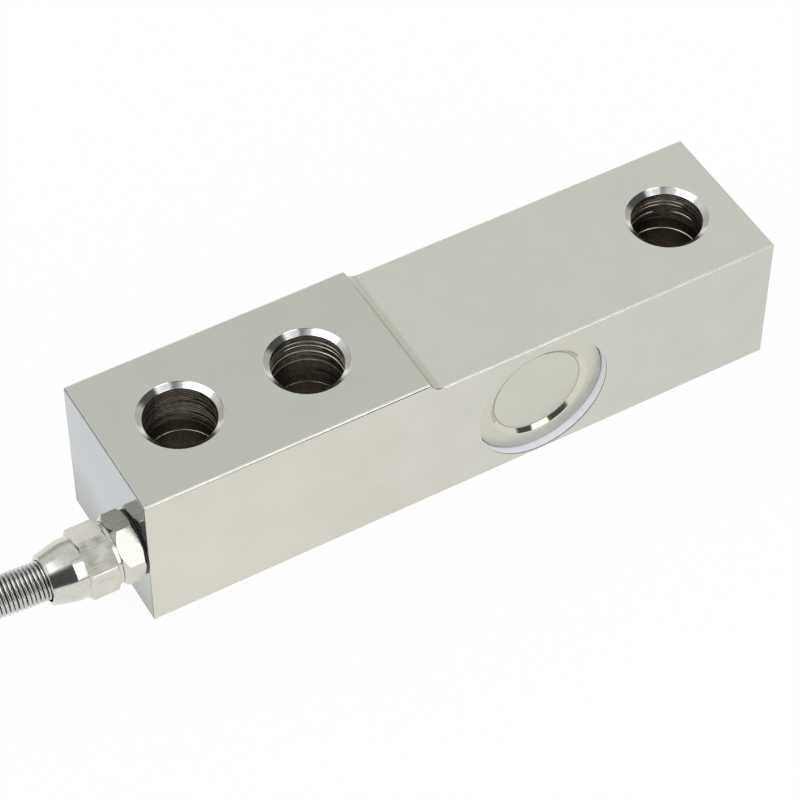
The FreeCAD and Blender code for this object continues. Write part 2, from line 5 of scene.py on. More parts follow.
import bmesh
import bpy
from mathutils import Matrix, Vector


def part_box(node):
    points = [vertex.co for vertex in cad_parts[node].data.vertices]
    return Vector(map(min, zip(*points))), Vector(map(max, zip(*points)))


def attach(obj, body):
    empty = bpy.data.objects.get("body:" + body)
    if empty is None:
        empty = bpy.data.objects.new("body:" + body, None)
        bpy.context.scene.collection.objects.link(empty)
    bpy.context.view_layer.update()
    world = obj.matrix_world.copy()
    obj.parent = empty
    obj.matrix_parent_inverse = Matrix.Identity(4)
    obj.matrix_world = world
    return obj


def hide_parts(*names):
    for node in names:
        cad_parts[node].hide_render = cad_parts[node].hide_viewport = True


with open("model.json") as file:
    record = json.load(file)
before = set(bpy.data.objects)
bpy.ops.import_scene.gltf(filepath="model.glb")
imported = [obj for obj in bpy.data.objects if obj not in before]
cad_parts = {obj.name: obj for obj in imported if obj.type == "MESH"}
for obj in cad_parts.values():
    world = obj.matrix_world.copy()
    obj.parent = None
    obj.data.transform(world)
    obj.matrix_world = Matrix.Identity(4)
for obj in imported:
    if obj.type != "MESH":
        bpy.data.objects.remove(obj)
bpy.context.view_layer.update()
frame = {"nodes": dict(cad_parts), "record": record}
record = frame["record"]

# ---- The studio ----
# A white sweep of floor under a tent of white cloth, which is open and dark towards the front.  One
# tall soft box stands in the opening with a small white card above it, another soft box hangs high
# on the left, and a dark flag stands behind.


def paint(code):
    """An sRGB hex colour as the linear colour that a socket takes."""
    parts = [int(code[i:i + 2], 16) / 255 for i in (1, 3, 5)]
    return [p / 12.92 if p <= 0.04045 else ((p + 0.055) / 1.055) ** 2.4 for p in parts] + [1.0]


def add(tree, kind, inputs=None, **settings):
    """Adds a node with its settings, and sets or links each of its inputs."""
    made = tree.nodes.new(kind)
    for name, value in settings.items():
        setattr(made, name, value)
    for name, value in (inputs or {}).items():
        if isinstance(value, bpy.types.NodeSocket):
            tree.links.new(value, made.inputs[name])
        else:
            made.inputs[name].default_value = value
    return made


scene = bpy.context.scene
scene.view_settings.view_transform = "Standard"

world = bpy.data.worlds.new("studio_sky")
scene.world = world
world.use_nodes = True
sky = world.node_tree
sky.nodes.clear()
sky_way = add(sky, "ShaderNodeTexCoord")
sky_parts = add(sky, "ShaderNodeSeparateXYZ", {0: sky_way.outputs["Generated"]})


def sky_side(tones):
    """Tones up one side of the tent, from the floor's edge to overhead."""
    side = add(sky, "ShaderNodeValToRGB", {0: sky_parts.outputs["Z"]})
    stops = side.color_ramp.elements
    for stop, (height, tone) in zip(stops[:], (tones[0], tones[-1])):
        stop.position, stop.color = height, paint(tone)
    for height, tone in tones[1:-1]:
        stops.new(height).color = paint(tone)
    return side.outputs[0]


def sky_patch(way, begin, full):
    """How far the sky is inside a soft round patch about a way, by the cosines of its rim."""
    middle = Vector(way).normalized()
    here = sky_way.outputs["Generated"]
    near = add(sky, "ShaderNodeVectorMath", {0: here, 1: middle}, operation="DOT_PRODUCT")
    limits = {"Value": near.outputs["Value"], "From Min": begin, "From Max": full}
    return add(sky, "ShaderNodeMapRange", limits, interpolation_type="SMOOTHSTEP").outputs[0]


def seen_rays(tree):
    """1 for rays that look at the studio straight, in a mirror or through glass, and 0 for its light."""
    rays = add(tree, "ShaderNodeLightPath").outputs
    seen = rays["Is Camera Ray"]
    for kind in ("Is Glossy Ray", "Is Transmission Ray"):
        seen = add(tree, "ShaderNodeMath", {0: seen, 1: rays[kind]}, operation="MAXIMUM").outputs[0]
    return seen


cloth = sky_side([(0.12, "#FFFFFF"), (0.19, "#C2C2BC"), (0.42, "#BEBEB8"), (0.62, "#E3E6E5")])
opening = sky_side(
    [(0.0, "#FFFFFF"), (0.015, "#4C4D4E"), (0.80, "#4E4F50"), (0.93, "#8C8E8F"), (1.0, "#B8BABA")]
)
tent = cloth
for patch, tone in (
    (sky_patch((0.31, -0.95, 0), 0.20, 0.38), opening),
    (sky_patch((-0.79, 0.60, 0.13), 0.925, 0.945), paint("#1C1D1F")),  # the dark flag
    (sky_patch((0.20, -0.50, 0.84), 0.962, 0.985), paint("#F4F8FC")),  # the white card
):
    tent = add(sky, "ShaderNodeMix", {0: patch, 6: tent, 7: tone}, data_type="RGBA").outputs[2]
sky_seen = seen_rays(sky)
sky_colour = add(sky, "ShaderNodeMix", {0: sky_seen, 6: paint("#EFF1F4"), 7: tent}, data_type="RGBA")
sky_strength = add(sky, "ShaderNodeMapRange", {"Value": sky_seen, "To Min": 1.12, "To Max": 1.0})
sky_light = add(sky, "ShaderNodeBackground", {0: sky_colour.outputs[2], 1: sky_strength.outputs[0]})
add(sky, "ShaderNodeOutputWorld", {"Surface": sky_light.outputs[0]})


def new_object(name, data):
    made = bpy.data.objects.new(name, data)
    scene.collection.objects.link(made)
    return made


floor_reach = 3.0
floor_mesh = bpy.data.meshes.new("studio_floor")
floor_corners = [(x * floor_reach, y * floor_reach, 0) for x, y in ((-1, -1), (1, -1), (1, 1), (-1, 1))]
floor_mesh.from_pydata(floor_corners, [], [(0, 1, 2, 3)])
studio_floor = new_object("studio_floor", floor_mesh)

floor_finish = bpy.data.materials.new("white_paper_sweep")
floor_finish.use_nodes = True
paper = floor_finish.node_tree
paper.nodes.clear()
paper_glow_share = 0.96  # the rest takes the object's shadow
paper_seen = add(paper, "ShaderNodeMath", {0: seen_rays(paper), 1: paper_glow_share}, operation="MULTIPLY")
paper_matt = add(paper, "ShaderNodeBsdfDiffuse", {"Color": paint("#F2F2F2")}).outputs[0]
paper_glow = add(paper, "ShaderNodeEmission", {"Color": paint("#FFFFFF"), "Strength": 1.0}).outputs[0]
paper_mix = add(paper, "ShaderNodeMixShader", {0: paper_seen.outputs[0], 1: paper_matt, 2: paper_glow})
add(paper, "ShaderNodeOutputMaterial", {"Surface": paper_mix.outputs[0]})
floor_mesh.materials.append(floor_finish)

for name, place, size, power, tint in (
    ("tall_front_soft_box", (0.298, -0.973, 0.636), (0.48, 1.20), 3.15, "#FFFFFF"),
    ("high_left_soft_box", (-0.72, 0.04, 0.93), (0.84, 0.84), 3.0, "#F2F7FF"),
):
    lamp = bpy.data.lights.new(name, "AREA")
    lamp.shape = "RECTANGLE"
    lamp.size, lamp.size_y = size
    lamp.energy = power
    lamp.color = paint(tint)[:3]
    lamp_stand = new_object(name, lamp)
    lamp_stand.location = place
    lamp_stand.rotation_euler = (-Vector(place)).to_track_quat("-Z", "Y").to_euler()

# a long lens, high over the cable end, that looks down on the top and along the front
camera = bpy.data.cameras.new("camera")
camera.lens = 140.77
camera.sensor_width = 36.0
camera_stand = new_object("camera", camera)
camera_stand.location = (-0.19523, -0.32684, 0.44611)
camera_stand.rotation_euler = [math.radians(a) for a in (40.9006, -0.2069, -29.8894)]
scene.camera = camera_stand

# ---- The bar ----
# One bar of alloy steel, milled with a shallow step to the load end, ground flat, drilled through
# three times and nickel plated all over.  Both ends of each bolt hole are countersunk, and the
# side pockets are bored to a thin web that carries the gauges.
bar_low, bar_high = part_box("beam_body")
mounts = {m["name"]: m for m in record["mounts"]}
bores = [m for m in record["mounts"] if m["kind"] == "bore"]
load_top = mounts["load_top_face"]["pos_m"][2]
mount_top = bar_high.z
step_from_cable_end = 0.0565
step_edge_x = bar_low.x + step_from_cable_end
step_radius = 0.003
corner_round = 0.0004
step_round = 0.00005


def solid_from(bm, name):
    """Closes a bmesh into an object, with its faces turned outwards."""
    bmesh.ops.remove_doubles(bm, verts=bm.verts, dist=1e-7)
    bmesh.ops.recalc_face_normals(bm, faces=bm.faces)
    mesh = bpy.data.meshes.new(name)
    bm.to_mesh(mesh)
    bm.free()
    return new_object(name, mesh)


def draw_out(bm, corners, way):
    """A face with these corners, drawn out along a way."""
    face = bm.faces.new([bm.verts.new(corner) for corner in corners])
    drawn = bmesh.ops.extrude_face_region(bm, geom=[face])["geom"]
    moved = [v for v in drawn if isinstance(v, bmesh.types.BMVert)]
    bmesh.ops.translate(bm, verts=moved, vec=way)


def turned(name, outline, start, axis, steps=96, marks=None):
    """A turned solid: (along, radius) points swept round an axis, deepened by marks(along, angle)."""
    heading = Vector(axis).to_track_quat("Z", "Y").to_matrix()
    bm = bmesh.new()
    rings = []
    for along, radius in outline:
        count = steps if radius > 1e-9 else 1
        ring = []
        for k in range(count):
            a = 2 * math.pi * k / steps
            out = heading @ Vector((math.cos(a), math.sin(a), 0))
            reach = radius + marks(along, math.atan2(out.y, out.x)) if marks else radius
            ring.append(bm.verts.new(Vector(start) + out * reach + heading @ Vector((0, 0, along))))
        rings.append(ring)
    pairs = list(zip(rings, rings[1:]))
    if outline[0][1] > 1e-9 and outline[-1][1] > 1e-9:
        pairs.append((rings[-1], rings[0]))
    for one, two in pairs:
        for k in range(steps):
            here = [one[k % len(one)], one[(k + 1) % len(one)], two[(k + 1) % len(two)], two[k % len(two)]]
            corners = list(dict.fromkeys(here))
            if len(corners) > 2:
                bm.faces.new(corners)
    return solid_from(bm, name)


def stepped_bar():
    """The milled bar before its holes: its side outline drawn across, with rounded edges."""
    sweep = math.acos(1 - (mount_top - load_top) / step_radius)
    foot_x = step_edge_x + step_radius * math.sin(sweep)
    outline = [(bar_low.x, 0), (bar_high.x, 0), (bar_high.x, load_top)]
    arc_steps = 8
    for k in range(arc_steps + 1):
        a = sweep * k / arc_steps
        outline.append((foot_x - step_radius * math.sin(a), load_top + step_radius * (1 - math.cos(a))))
    outline.append((bar_low.x, mount_top))
    bm = bmesh.new()
    draw_out(bm, [(x, bar_low.y, z) for x, z in outline], (0, bar_high.y - bar_low.y, 0))
    bmesh.ops.recalc_face_normals(bm, faces=bm.faces)

    def at_step(edge):
        middle = (edge.verts[0].co + edge.verts[1].co) / 2
        return abs(middle.x - step_edge_x) < 1e-6 and abs(middle.z - mount_top) < 1e-6

    sharp = [e for e in bm.edges if e.calc_face_angle(0) > math.radians(40)]
    step = [e for e in sharp if at_step(e)]
    bmesh.ops.bevel(bm, geom=step, offset=step_round, segments=3, profile=0.5, affect="EDGES")
    sharp = [e for e in bm.edges if e.calc_face_angle(0) > math.radians(60)]
    bmesh.ops.bevel(bm, geom=sharp, offset=corner_round, segments=4, profile=0.5, affect="EDGES")
    return solid_from(bm, "steel_bar")


countersink_run = 0.001125
countersink_depth = 0.00078
countersink_lines = 16
countersink_line_depth = 0.00001
past = 0.001  # how far each cutter runs past what it cuts
# rings that the drill scraped in each hole:
# (depth under the top, half width, groove, middle of its arc, how far round either way)
drill_rings = {
    "outer_mount_bore": [(0.0120, 0.00016, 0.00007, 1.1, 3.2)],
    "inner_mount_bore": [
        (0.0024, 0.00018, 0.00007, 1.0, 3.2),
        (0.0034, 0.00018, 0.00008, 1.0, 3.2),
        (0.0049, 0.00022, 0.00012, 0.9, 3.2),
        (0.0072, 0.00018, 0.00007, 0.9, 3.2),
        (0.0132, 0.00016, 0.00003, 1.2, 1.0),
    ],
    "load_bore": [
        (0.0026, 0.00018, 0.00007, 1.9, 1.6),
        (0.0035, 0.00018, 0.00007, 1.8, 1.4),
        (0.0052, 0.00022, 0.00010, 2.1, 0.9),
        (0.0052, 0.00018, 0.00008, 0.5, 0.5),
        (0.0098, 0.00020, 0.00012, 1.0, 3.2),
    ],
}
# the fine feed marks between them: (spacing, deepest mark, how far down they are plain)
drill_feed = {
    "outer_mount_bore": (0.00058, 0.00007, 0.0095),
    "inner_mount_bore": (0.00062, 0.00004, 0.0110),
    "load_bore": (0.00060, 0.00004, 0.0070),
}
feed_half_width = 0.00014
lip_slope = 0.7  # how steeply a ring's lower lip comes back to the wall


def drill_marks(name, top):
    """How much deeper the wall is at a height and an angle, and the heights that show its marks."""
    spacing, deepest, plain_to = drill_feed[name]
    chance = random.Random(name)
    rings = list(drill_rings[name])
    depth = countersink_depth + spacing
    while depth < plain_to:
        groove = deepest * chance.uniform(0.35, 1.0)
        rings.append((depth, feed_half_width, groove, chance.uniform(0.2, 2.2), chance.uniform(0.7, 1.8)))
        depth += spacing * chance.uniform(0.8, 1.2)

    def marks(z, angle):
        depth, found = top - z, 0.0
        for centre, half, groove, towards, reach in rings:
            off = (depth - centre) / (2 * half)
            if -1 < off < 0:
                turn = abs((angle - towards + math.pi) % (2 * math.pi) - math.pi)
                found = max(found, groove * (1 + off) * min(1.0, max(0.0, (reach - turn) * 3)))
        return found

    heights = set()
    for centre, half, groove, _, _ in rings:
        depths = [centre - 2 * half, centre - half, centre - 1e-6, centre + lip_slope * groove]
        heights.update(round(top - d, 6) for d in depths if d > countersink_depth + 0.0001)
    return marks, sorted(heights, reverse=True)


def bore_top(name):
    return load_top if name == "load_bore" else mount_top


def bore_cutter(mount):
    """The hole's own shape: a drilled wall with its rings, and a countersink at each end."""
    name = mount["name"]
    radius = mount["dims"]["r_mm"] / 1000
    x, y, _ = mount["pos_m"]
    top = bore_top(name)
    mouth = radius + countersink_run * (1 + past / countersink_depth)
    outline = [(top + past, 0), (top + past, mouth)]
    for k in range(1, countersink_lines):
        share = k / countersink_lines
        lift = countersink_line_depth * (1 if k % 2 else -1)
        outline.append((top - countersink_depth * share + lift, radius + countersink_run * (1 - share)))
    marks, heights = drill_marks(name, top)
    outline.append((top - countersink_depth, radius))
    outline += [(z, radius) for z in heights]
    outline += [(countersink_depth, radius), (-past, mouth), (-past, 0)]
    return turned(name, outline, (x, y, 0), (0, 0, 1), 120, marks)


cap_low, cap_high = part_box("front_sealing_cap")
pocket_x = (cap_low.x + cap_high.x) / 2
pocket_z = (cap_low.z + cap_high.z) / 2
recess_radius = 0.0136
recess_edge_width = 0.00020
pocket_radius = 0.0116
ledge_depth = 0.0023
web_thickness = 0.005
web_hole_radius = 0.0015
web_hole_from_wall = 0.0034
port_radius = 0.00402
port_depth = 0.0066
channel_radius = 0.002

nut_low, nut_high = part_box("dome_nut")
entry = Vector((bar_low.x, (nut_low.y + nut_high.y) / 2, (nut_low.z + nut_high.z) / 2))


def side_cutter(name, side, radius, depth_from, depth_to, x=None, edge=None):
    """A disc across the bar, between two depths under its front (-1) or rear (1) face."""
    face_y = bar_high.y * side
    start = (pocket_x if x is None else x, face_y - side * depth_to, pocket_z)
    length = depth_to - depth_from
    outline = [(0, 0), (0, radius), (length, radius), (length, 0)]
    if edge:
        outline.insert(2, (depth_to - edge, radius))
    return turned(name, outline, start, (0, side, 0), 128)


web_depth = bar_high.y - web_thickness / 2
cutters = [bore_cutter(m) for m in bores]
for side, word in ((-1, "front"), (1, "rear")):
    edge = recess_edge_width
    cutters.append(side_cutter(word + "_recess", side, recess_radius, -past, ledge_depth, edge=edge))
    cutters.append(side_cutter(word + "_pocket", side, pocket_radius, ledge_depth - past / 2, web_depth))
web_hole_x = pocket_x - pocket_radius + web_hole_from_wall
web_back = web_depth + web_thickness
cutters.append(side_cutter("web_hole", -1, web_hole_radius, web_depth - past, web_back + past, web_hole_x))
port = [(-past, 0), (-past, port_radius), (port_depth, port_radius), (port_depth + port_radius / 2, 0)]
cutters.append(turned("entry_port", port, entry, (1, 0, 0), 64))
channel_end = pocket_x - pocket_radius / 2 - bar_low.x
channel = [(past, 0), (past, channel_radius), (channel_end, channel_radius), (channel_end, 0)]
cutters.append(turned("wire_channel", channel, entry, (1, 0, 0), 48))


def as_plain_mesh(piece):
    """What a piece's modifiers make of it, as an object of its own with the same name."""
    name = piece.name
    depsgraph = bpy.context.evaluated_depsgraph_get()
    mesh = bpy.data.meshes.new_from_object(piece.evaluated_get(depsgraph))
    mesh.name = name
    piece.modifiers.clear()
    bpy.data.objects.remove(piece)
    return new_object(name, mesh)


def cut_and_join(piece, steps):
    """Cuts, joins or crosses a piece with others in turn, and leaves one plain mesh."""
    for operation, other in steps:
        change = piece.modifiers.new(other.name, "BOOLEAN")
        change.operation = operation
        change.solver = "EXACT"
        change.object = other
    made = as_plain_mesh(piece)
    for _, other in steps:
        bpy.data.objects.remove(other)
    return made


def shade(piece, angle):
    """Smooth shading, broken at edges sharper than the angle."""
    piece.data.shade_smooth()
    piece.data.set_sharp_from_angle(angle=math.radians(angle))


def crisp(piece):
    """Smooth shading that leaves the wide faces flat up to their rounded edges."""
    shade(piece, 24)
    flatter = piece.modifiers.new("flatter", "WEIGHTED_NORMAL")
    flatter.keep_sharp = True
    return as_plain_mesh(piece)


bar_body = crisp(cut_and_join(stepped_bar(), [("DIFFERENCE", cutter) for cutter in cutters]))


def surface(name, colour, dark, rough, grain, microns, cloud, metallic=0.0):
    """A finish of two close colours, with a grain in its gloss and relief and soft clouds in its colour.

    Grain (even, or on each axis) and clouds are given as marks a metre, so 2500 stands for marks
    0.4 mm apart.  Real grinding and drawing marks are finer, and are drawn as coarse as they show.
    The grain's depth is in microns.
    """
    finish = bpy.data.materials.new(name)
    finish.use_nodes = True
    tree = finish.node_tree
    shader = tree.nodes["Principled BSDF"].inputs
    shader["Metallic"].default_value = metallic
    place = add(tree, "ShaderNodeTexCoord").outputs["Object"]
    grain = grain if isinstance(grain, tuple) else (grain, grain, grain)
    stretch = add(tree, "ShaderNodeMapping", {"Vector": place, "Scale": grain}).outputs[0]
    lines = add(tree, "ShaderNodeTexNoise", {"Vector": stretch, "Scale": 1.0, "Detail": 3.0}).outputs[0]
    clouds = add(tree, "ShaderNodeTexNoise", {"Vector": place, "Scale": cloud, "Detail": 2.0}).outputs[0]
    mixed = add(tree, "ShaderNodeMix", {0: 0.5, 2: lines, 3: clouds}, data_type="FLOAT").outputs[0]
    tone = add(tree, "ShaderNodeMapRange", {"Value": mixed, "From Min": 0.35, "From Max": 0.65}).outputs[0]
    colours = add(tree, "ShaderNodeMix", {0: tone, 6: paint(dark), 7: paint(colour)}, data_type="RGBA")
    tree.links.new(colours.outputs[2], shader["Base Color"])
    limits = {"From Min": 0.3, "From Max": 0.7, "To Min": rough * 0.8, "To Max": rough * 1.2}
    gloss = add(tree, "ShaderNodeMapRange", {"Value": lines, **limits})
    tree.links.new(gloss.outputs[0], shader["Roughness"])
    relief = add(tree, "ShaderNodeBump", {"Height": lines, "Strength": 1.0, "Distance": microns * 1e-6})
    tree.links.new(relief.outputs[0], shader["Normal"])
    return finish


def drift(finish, axis, begin, end, colour):
    """Lets a finish pass into another tone between two places along an axis, in metres."""
    tree = finish.node_tree
    base = tree.nodes["Principled BSDF"].inputs["Base Color"]
    place = add(tree, "ShaderNodeTexCoord").outputs["Object"]
    along = add(tree, "ShaderNodeSeparateXYZ", {0: place}).outputs[axis]
    share = add(tree, "ShaderNodeMapRange", {"Value": along, "From Min": begin, "From Max": end}).outputs[0]
    tones = {0: share, 6: base.links[0].from_socket, 7: paint(colour)}
    tone = add(tree, "ShaderNodeMix", tones, data_type="RGBA", blend_type="MULTIPLY")
    tree.links.new(tone.outputs[2], base)


def nickel(name, colour, dark, rough, grain, microns, cloud=120):
    """Nickel plate, a warm pale grey metal that takes its gloss from what lies under it."""
    return surface(name, colour, dark, rough, grain, microns, cloud, 1.0)


def finish_faces(piece, finishes, choose):
    """Gives each face of a piece the finish that choose picks for it."""
    for finish in finishes:
        piece.data.materials.append(finish)
    for face in piece.data.polygons:
        face.material_index = finishes.index(choose(face))


# ground faces: a fine straight grain along the wheel's way, and a soft sheen
raised_top = nickel("ground_nickel_raised_top", "#D2D2C8", "#CECEC5", 0.30, (900, 2600, 2600), 0.5)
lower_top = nickel("ground_nickel_lower_top", "#DEDCD3", "#DAD8CF", 0.30, (900, 2600, 2600), 0.5)
ground_side = nickel("ground_nickel_side", "#DAD7CC", "#D4D1C5", 0.24, (220, 3000, 3000), 2.2)
ground_end = nickel("ground_nickel_end", "#B5B9BC", "#AFB3B6", 0.12, (2600, 900, 2600), 0.4)
# countersinks: cut bright, with fine rings round them
countersink = nickel("countersunk_nickel", "#E4E3DF", "#D2D1CC", 0.12, (1500, 1500, 5000), 4, 700)
# drilled walls: thinly plated and brown, painted darker as painted shade inside the holes, with brighter
# rings where the drill scraped
drilled_wall = nickel("drilled_wall", "#A0978A", "#6C6558", 0.42, (500, 500, 7000), 5, 900)
scraped_ring = nickel("scraped_ring", "#CFC6BA", "#AEA599", 0.34, (500, 500, 7000), 3, 900)
# the step's milled slope: even and matt
step_finish = nickel("milled_step", "#E0DED4", "#DCDAD0", 0.42, 900, 1)
# the long rounded edges: painted nearly white, a painted highlight along them
burnished_edge = nickel("burnished_edge", "#F8F6F0", "#ECEAE4", 0.38, (900, 2600, 2600), 0.5)
# the recess wall: painted with white sealing lacquer, with a grey line of painted shade at its mouth
recess_wall = surface("lacquered_recess_wall", "#FBFBFF", "#F2F2FC", 0.45, 1500, 2, 300)
recess_mouth_shade = surface("bare_steel_edge", "#9A9AA2", "#84848C", 0.40, 1500, 2, 300, 0.6)
# painted shading: the side grows darker and cooler towards the load end
drift(ground_side, "X", -0.045, 0.055, "#EEF2F5")
# painted shade: the end face darkens towards its foot
drift(ground_end, "Z", 0.014, 0.001, "#CFCCC0")
# painted shade: the drilled walls darken from just below the top down the holes
drift(drilled_wall, "Z", 0.0260, 0.0215, "#8A8276")
# painted shade: the step's slope darkens towards its upper edge at the raised top
drift(step_finish, "X", step_edge_x + 0.0016, step_edge_x, "#E6E6DC")
bar_finishes = [raised_top, lower_top, ground_side, ground_end, countersink, drilled_wall]
bar_finishes += [recess_wall, recess_mouth_shade, step_finish, burnished_edge, scraped_ring]


def bar_finish(face):
    """Which finish a face has, by the hole or recess that it lies in, or else by the way it looks."""
    centre, normal = face.center, face.normal
    for mount in bores:
        away = math.hypot(centre.x - mount["pos_m"][0], centre.y - mount["pos_m"][1])
        mouth = mount["dims"]["r_mm"] / 1000 + countersink_run
        if away < mouth and abs(normal.z) < 0.99:
            depth = bore_top(mount["name"]) - centre.z
            if depth < countersink_depth or centre.z < countersink_depth:
                return countersink
            scraped = any(0 < depth - ring[0] < ring[2] for ring in drill_rings[mount["name"]])
            return scraped_ring if scraped and abs(normal.z) > 0.5 else drilled_wall
    from_pocket = math.hypot(centre.x - pocket_x, centre.z - pocket_z)
    under_side = bar_high.y - abs(centre.y)
    if abs(from_pocket - recess_radius) < 0.0002 and abs(normal.y) < 0.5:
        # a thin band at the recess's mouth takes the grey painted shade
        return recess_wall if under_side > recess_edge_width else recess_mouth_shade
    if 0.5 < normal.z < 0.996 and step_edge_x - 0.0002 < centre.x < step_edge_x + step_radius:
        return step_finish
    # the rounded long edges of the top take the painted highlight
    if abs(normal.y) > 0.15 and 0.35 < abs(normal.z) < 0.99 and under_side < corner_round:
        return burnished_edge
    if abs(normal.z) > 0.6:
        return raised_top if centre.x < step_edge_x else lower_top
    return ground_side if abs(normal.y) > abs(normal.x) else ground_end


finish_faces(bar_body, bar_finishes, bar_finish)
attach(bar_body, "root")
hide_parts("beam_body")


def dress(finish, *names):
    """Gives CAD nodes whose shape is right their own finish."""
    for name in names:
        for slot in frame["nodes"][name].material_slots:
            slot.material = finish


# ---- The strain gauges ----
# Four foil grids on amber polyimide film are bonded to each side of the thin web, and fine enamelled
# wires join their tabs to a strip of copper solder terminals below.
gauge_film = surface("polyimide_film", "#C98A35", "#B87A2A", 0.22, 1800, 1, 300)
gauge_foil = surface("etched_constantan", "#BFB199", "#A89A82", 0.3, 5000, 0.5, 500, 1.0)
terminal_copper = surface("tinned_copper_pads", "#C98F6B", "#B9B6AE", 0.35, 2500, 4, 900, 1.0)
enamelled_wire = surface("enamelled_wire", "#B5602C", "#9A4E22", 0.2, 3000, 1, 900, 0.6)
for side in ("front", "rear"):
    dress(gauge_film, side + "_gauge_backing")
    dress(gauge_foil, side + "_gauge_grids")
    dress(terminal_copper, side + "_terminal_strip")
    dress(enamelled_wire, side + "_jumper_wires")

# ---- The compensation board ----
# A small glass-epoxy board with chip resistors evens the bridge.  It stands on the web in the front
# pocket, and insulated links run from it through the web to the rear gauges.
board_laminate = surface("glass_epoxy_laminate", "#2C7A4E", "#1F6340", 0.35, 1600, 3, 500)
chip_black = surface("chip_resistor_glaze", "#3A3A3C", "#242426", 0.25, 3000, 2, 800)
link_cover = surface("fluoropolymer_cover", "#B8443B", "#A43730", 0.3, 2000, 1, 500)
dress(board_laminate, "compensation_board")
dress(chip_black, "trimming_resistors")
dress(link_cover, "link_wires")

# ---- The cable's cores inside the bar ----
# The four cores run loose along the drilled channel from the gland to the board's pads.  Each has a
# smooth extruded cover in its own colour, with a soft satin gloss.
core_covers = {}
for colour, light, dark in (
    ("red", "#C23A33", "#AE302A"),
    ("black", "#2B2B2D", "#202022"),
    ("green", "#2E9150", "#257D43"),
    ("white", "#E9E9E4", "#DDDDD7"),
):
    core_covers[colour] = surface("core_cover_" + colour, light, dark, 0.32, 1500, 2, 300)
    dress(core_covers[colour], "lead_core_" + colour)

# ---- The gel fill ----
# A clear soft silicone gel is poured over the gauges in both pockets and sets to a tacky jelly,
# which shows faint clouds and a wet skin.
gel = surface("silicone_gel", "#E6E9E6", "#D9DDDA", 0.12, 300, 20, 200)
gel_shader = gel.node_tree.nodes["Principled BSDF"]
gel_shader.inputs["Transmission Weight"].default_value = 0.85
gel_shader.inputs["IOR"].default_value = 1.41
dress(gel, "front_gel_fill", "rear_gel_fill")

# ---- The sealing caps ----
# A disc of thin sheet steel is pressed with a round dish in its middle, plated, and pushed into the
# recess at each side down to its ledge, where its rounded rim closes the pocket.
# the flat is satin and the dish burnished by the punch; the creases are painted a darker grey as painted
# shade
cap_flat = nickel("plated_sheet", "#D1D0C4", "#CBCABE", 0.34, 500, 1.2, 150)
cap_dish = nickel("burnished_dish", "#D4D2C6", "#CECCC0", 0.10, 500, 1.2, 150)
cap_crease_shade = nickel("dull_crease", "#9E9D92", "#949388", 0.45, 500, 1.2, 150)
cap_radius = cap_high.x - pocket_x
cap_depth = 0.0017
cap_sheet = 0.0006
cap_back = cap_depth + cap_sheet
dish_depth = 0.00075
dish_bottom = cap_depth + dish_depth
dish_floor = 0.0092
dish_run = 0.00145
crease_width = 0.00015
rim_round = 0.0001
rim_steps = 5
# the dish's side from its floor up to the rim: (share of its run, share of its depth)
dish_side = [(0.04, 0.965), (0.08, 0.912), (0.62, 0.133), (0.66, 0.085), (0.70, 0.05), (0.78, 0.018)]
dish_side.append((0.9, 0.003))
# across the sheet's outer face, from the middle out: (radius, depth under the bar's side)
cap_outline = [(0, dish_bottom), (dish_floor - 0.00014, dish_bottom)]
cap_outline += [(dish_floor - 0.00008, dish_bottom + 0.00004), (dish_floor, dish_bottom - 0.00001)]
for share, sink in dish_side:
    cap_outline.append((dish_floor + dish_run * share, cap_depth + dish_depth * sink))
cap_outline.append((dish_floor + dish_run, cap_depth))
for k in range(rim_steps + 1):
    a = math.pi / 2 * k / rim_steps
    inward, down = rim_round * (1 - math.sin(a)), rim_round * (1 - math.cos(a))
    cap_outline.append((cap_radius - inward, cap_depth + down))
cap_outline += [(cap_radius, cap_back), (dish_floor + 0.0009, cap_back)]
cap_outline += [(dish_floor + 0.0001, cap_back + dish_depth), (0, cap_back + dish_depth)]


def cap_finish(face):
    """Painted shade at the dish's foot and round the rim, burnished up the dish's side."""
    from_middle = math.hypot(face.center.x - pocket_x, face.center.z - pocket_z)
    if dish_floor - crease_width < from_middle < dish_floor or from_middle > cap_radius - rim_round:
        return cap_crease_shade
    return cap_dish if 0.2 < abs(face.normal.y) < 0.995 else cap_flat


for side, word in ((-1, "front"), (1, "rear")):
    across = [(-depth, radius) for radius, depth in cap_outline]
    cap = turned(word + "_cap", across, (pocket_x, bar_high.y * side, pocket_z), (0, side, 0), 160)
    finish_faces(cap, [cap_flat, cap_dish, cap_crease_shade], cap_finish)
    cap = crisp(cap)
    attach(cap, "root")
    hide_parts(word + "_sealing_cap")

# ---- The cable gland ----
# A brass body with a hexagon screws into the end of the bar on a thin rubber ring, and a brass nut
# with a long tapered nose draws down on it.  Both are turned from hexagon bar and nickel plated:
# the turned parts are bright, and the flats keep the fine lines of the drawn bar.
body_low, body_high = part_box("gland_body")
seal_low, seal_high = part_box("gland_seal_ring")
body_hex_x = seal_low.x
body_hex_end = body_hex_x - 0.00418
nut_start = nut_high.x
nut_hex_x = nut_start - 0.00068
nut_hex_end = nut_hex_x - 0.0056
hex_round = 0.0003
cone_past_flats = 0.00006
# turned faces: bright, with fine tool rings round them
turned_nickel = nickel("turned_nickel", "#DAD8D0", "#CCCAC1", 0.15, (5000, 1500, 1500), 3, 1200)
# flats: the drawn bar's lines run along them
flat_nickel = nickel("drawn_nickel_flats", "#DAD8CF", "#CBC9BF", 0.26, (350, 3200, 3200), 5, 500)
# the nut's flat that faces up and forward: deeper lines, and a darker colour as painted shade
shaded_nut_flat = nickel("scored_nickel_flat", "#C6C4BA", "#96948A", 0.36, (240, 2400, 2400), 20, 500)
# corners: rubbed smoother than the flats, so they catch thin lines of light and dark, and painted paler as
# a painted highlight
paler_corner_nickel = nickel("corner_nickel_rubbed", "#F4F1E8", "#E4E1D8", 0.16, 900, 0, 900)
